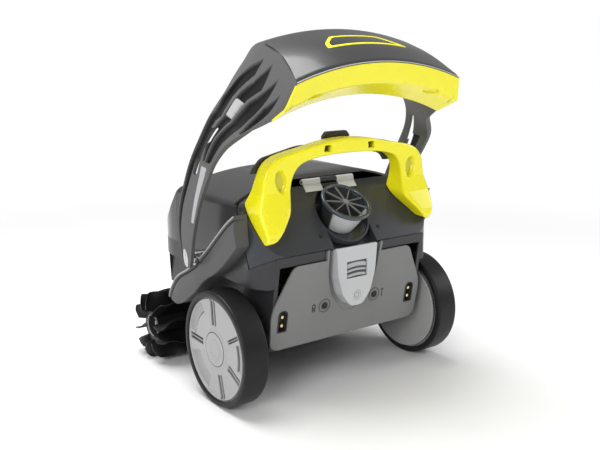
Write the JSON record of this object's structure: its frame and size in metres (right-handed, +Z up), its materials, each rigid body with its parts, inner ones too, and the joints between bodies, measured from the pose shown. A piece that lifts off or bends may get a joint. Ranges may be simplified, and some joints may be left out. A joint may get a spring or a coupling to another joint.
{
  "type": "robotic pool cleaner",
  "caption": "Cordless robotic pool cleaner with driven wheels, bladed front roller, jet nozzle in a hinged rear hatch, carry handle and tall swinging float arch.",
  "frame": {"origin": "floor point under the middle of the machine's length and width", "axes": "+Y forward, +X to the right seen from behind, +Z up"},
  "size_m": [0.432, 0.4206, 0.565],
  "materials": {
    "battery_wrap": "blue sleeve",
    "black_gloss": "gloss black",
    "board_green": "green board",
    "brass": "gold-plated contact",
    "dark_plastic": "satin dark charcoal",
    "grey_plastic": "mid grey matte",
    "inner_plastic": "inner black plastic",
    "lens": "clear lens",
    "light_grey": "light silver-grey",
    "mesh_fabric": "fine filter mesh",
    "rubber": "black rubber",
    "steel": "bright steel",
    "tyre": "black tyre rubber",
    "white_nylon": "natural nylon",
    "yellow_plastic": "gloss lemon yellow"
  },
  "bodies": {
    "hull": {"lower_housing": "dark_plastic", "rear_panel": "grey_plastic", "top_cover": "grey_plastic", "front_hood": "black_gloss", "cover_knuckle": "dark_plastic", "hinge_pin": "steel", "pump_shroud": "inner_plastic", "pump_motor": "inner_plastic", "filter_frame": "light_grey", "filter_mesh": "mesh_fabric", "inlet_duct": "inner_plastic", "flap_pin": "steel", "battery_case": "inner_plastic", "battery_cells": "battery_wrap", "control_box": "inner_plastic", "control_board": "board_green", "latch_plate": "light_grey", "release_spring": "steel", "seam_pins": "steel", "roller_brackets": "grey_plastic", "wheel_axles": "steel", "wheel_bushes": "white_nylon", "gear_covers": "light_grey", "drive_motors": "inner_plastic", "pivot_pins": "steel", "contact_bezels": "dark_plastic", "status_lenses": "lens", "contact_pins": "brass", "fender_left": "grey_plastic", "fender_right": "grey_plastic"},
    "hatch": {"deck": "dark_plastic", "carry_handle": "yellow_plastic", "handle_liner": "dark_plastic", "nozzle_cup": "light_grey", "nozzle_grille": "dark_plastic", "hinge_strips": "light_grey", "deck_screws": "steel", "trigger_spring": "steel"},
    "trigger": {"handle_trigger": "dark_plastic"},
    "button": {"release_button": "grey_plastic"},
    "power": {"power_key": "light_grey"},
    "wheel_left": {"tyre_left": "tyre", "wheel_hub_left": "light_grey", "ring_gear_left": "white_nylon", "wheel_cap_left": "light_grey"},
    "wheel_right": {"tyre_right": "tyre", "wheel_hub_right": "light_grey", "ring_gear_right": "white_nylon", "wheel_cap_right": "light_grey"},
    "pinion_left": {"drive_pinion_left": "white_nylon"},
    "pinion_right": {"drive_pinion_right": "white_nylon"},
    "roller": {"roller_shaft": "steel", "roller_tubes": "dark_plastic", "roller_blades": "rubber"},
    "jet": {"propeller": "white_nylon"},
    "flap": {"inlet_flap": "rubber"},
    "arch": {"arch_shell": "dark_plastic", "arch_liner": "yellow_plastic", "arm_left": "grey_plastic", "arm_right": "grey_plastic"}
  },
  "joints": [
    {"name": "hatch_hinge", "type": "hinge", "parent": "hull", "child": "hatch", "pos_m": [0, -0.08, 0.33], "axis": [-1, 0, 0], "range_deg": [0, 55]},
    {"name": "trigger_slide", "type": "slide", "parent": "hatch", "child": "trigger", "axis": [0, -1, 0], "range_m": [0, 0.004], "stiffness_N_per_m": 900, "springref_m": -0.001, "deforming": ["trigger_spring"]},
    {"name": "button_slide", "type": "slide", "parent": "hull", "child": "button", "axis": [0, 1, 0], "range_m": [0, 0.003], "stiffness_N_per_m": 900, "springref_m": -0.001, "deforming": ["release_spring"]},
    {"name": "key_push", "type": "slide", "parent": "hull", "child": "power", "axis": [0, 1, 0], "range_m": [0, 0.001], "stiffness_N_per_m": 900, "springref_m": -0.001},
    {"name": "wheel_left_spin", "type": "hinge", "parent": "hull", "child": "wheel_left", "pos_m": [-0.195, -0.08, 0.09], "axis": [1, 0, 0], "continuous": true},
    {"name": "wheel_right_spin", "type": "hinge", "parent": "hull", "child": "wheel_right", "pos_m": [0.195, -0.08, 0.09], "axis": [1, 0, 0], "continuous": true},
    {"name": "pinion_left_spin", "type": "hinge", "parent": "hull", "child": "pinion_left", "pos_m": [-0.195, -0.05887, 0.12973], "axis": [1, 0, 0], "continuous": true},
    {"name": "pinion_right_spin", "type": "hinge", "parent": "hull", "child": "pinion_right", "pos_m": [0.195, -0.05887, 0.12973], "axis": [1, 0, 0], "continuous": true},
    {"name": "roller_spin", "type": "hinge", "parent": "hull", "child": "roller", "pos_m": [0, 0.152, 0.06], "axis": [1, 0, 0], "continuous": true},
    {"name": "jet_spin", "type": "hinge", "parent": "hull", "child": "jet", "pos_m": [0, -0.09584, 0.2477], "axis": [0, -0.5255, 0.8508], "continuous": true},
    {"name": "flap_swing", "type": "hinge", "parent": "hull", "child": "flap", "pos_m": [0, 0.065, 0.0605], "axis": [-1, 0, 0], "range_deg": [0, 60]},
    {"name": "arch_swing", "type": "hinge", "parent": "hull", "child": "arch", "pos_m": [0, 0, 0.214], "axis": [-1, 0, 0], "range_deg": [0, 50]}
  ],
  "couplings": [
    {"joint": "pinion_left_spin", "follows": "wheel_left_spin", "ratio": 4},
    {"joint": "pinion_right_spin", "follows": "wheel_right_spin", "ratio": 4}
  ]
}
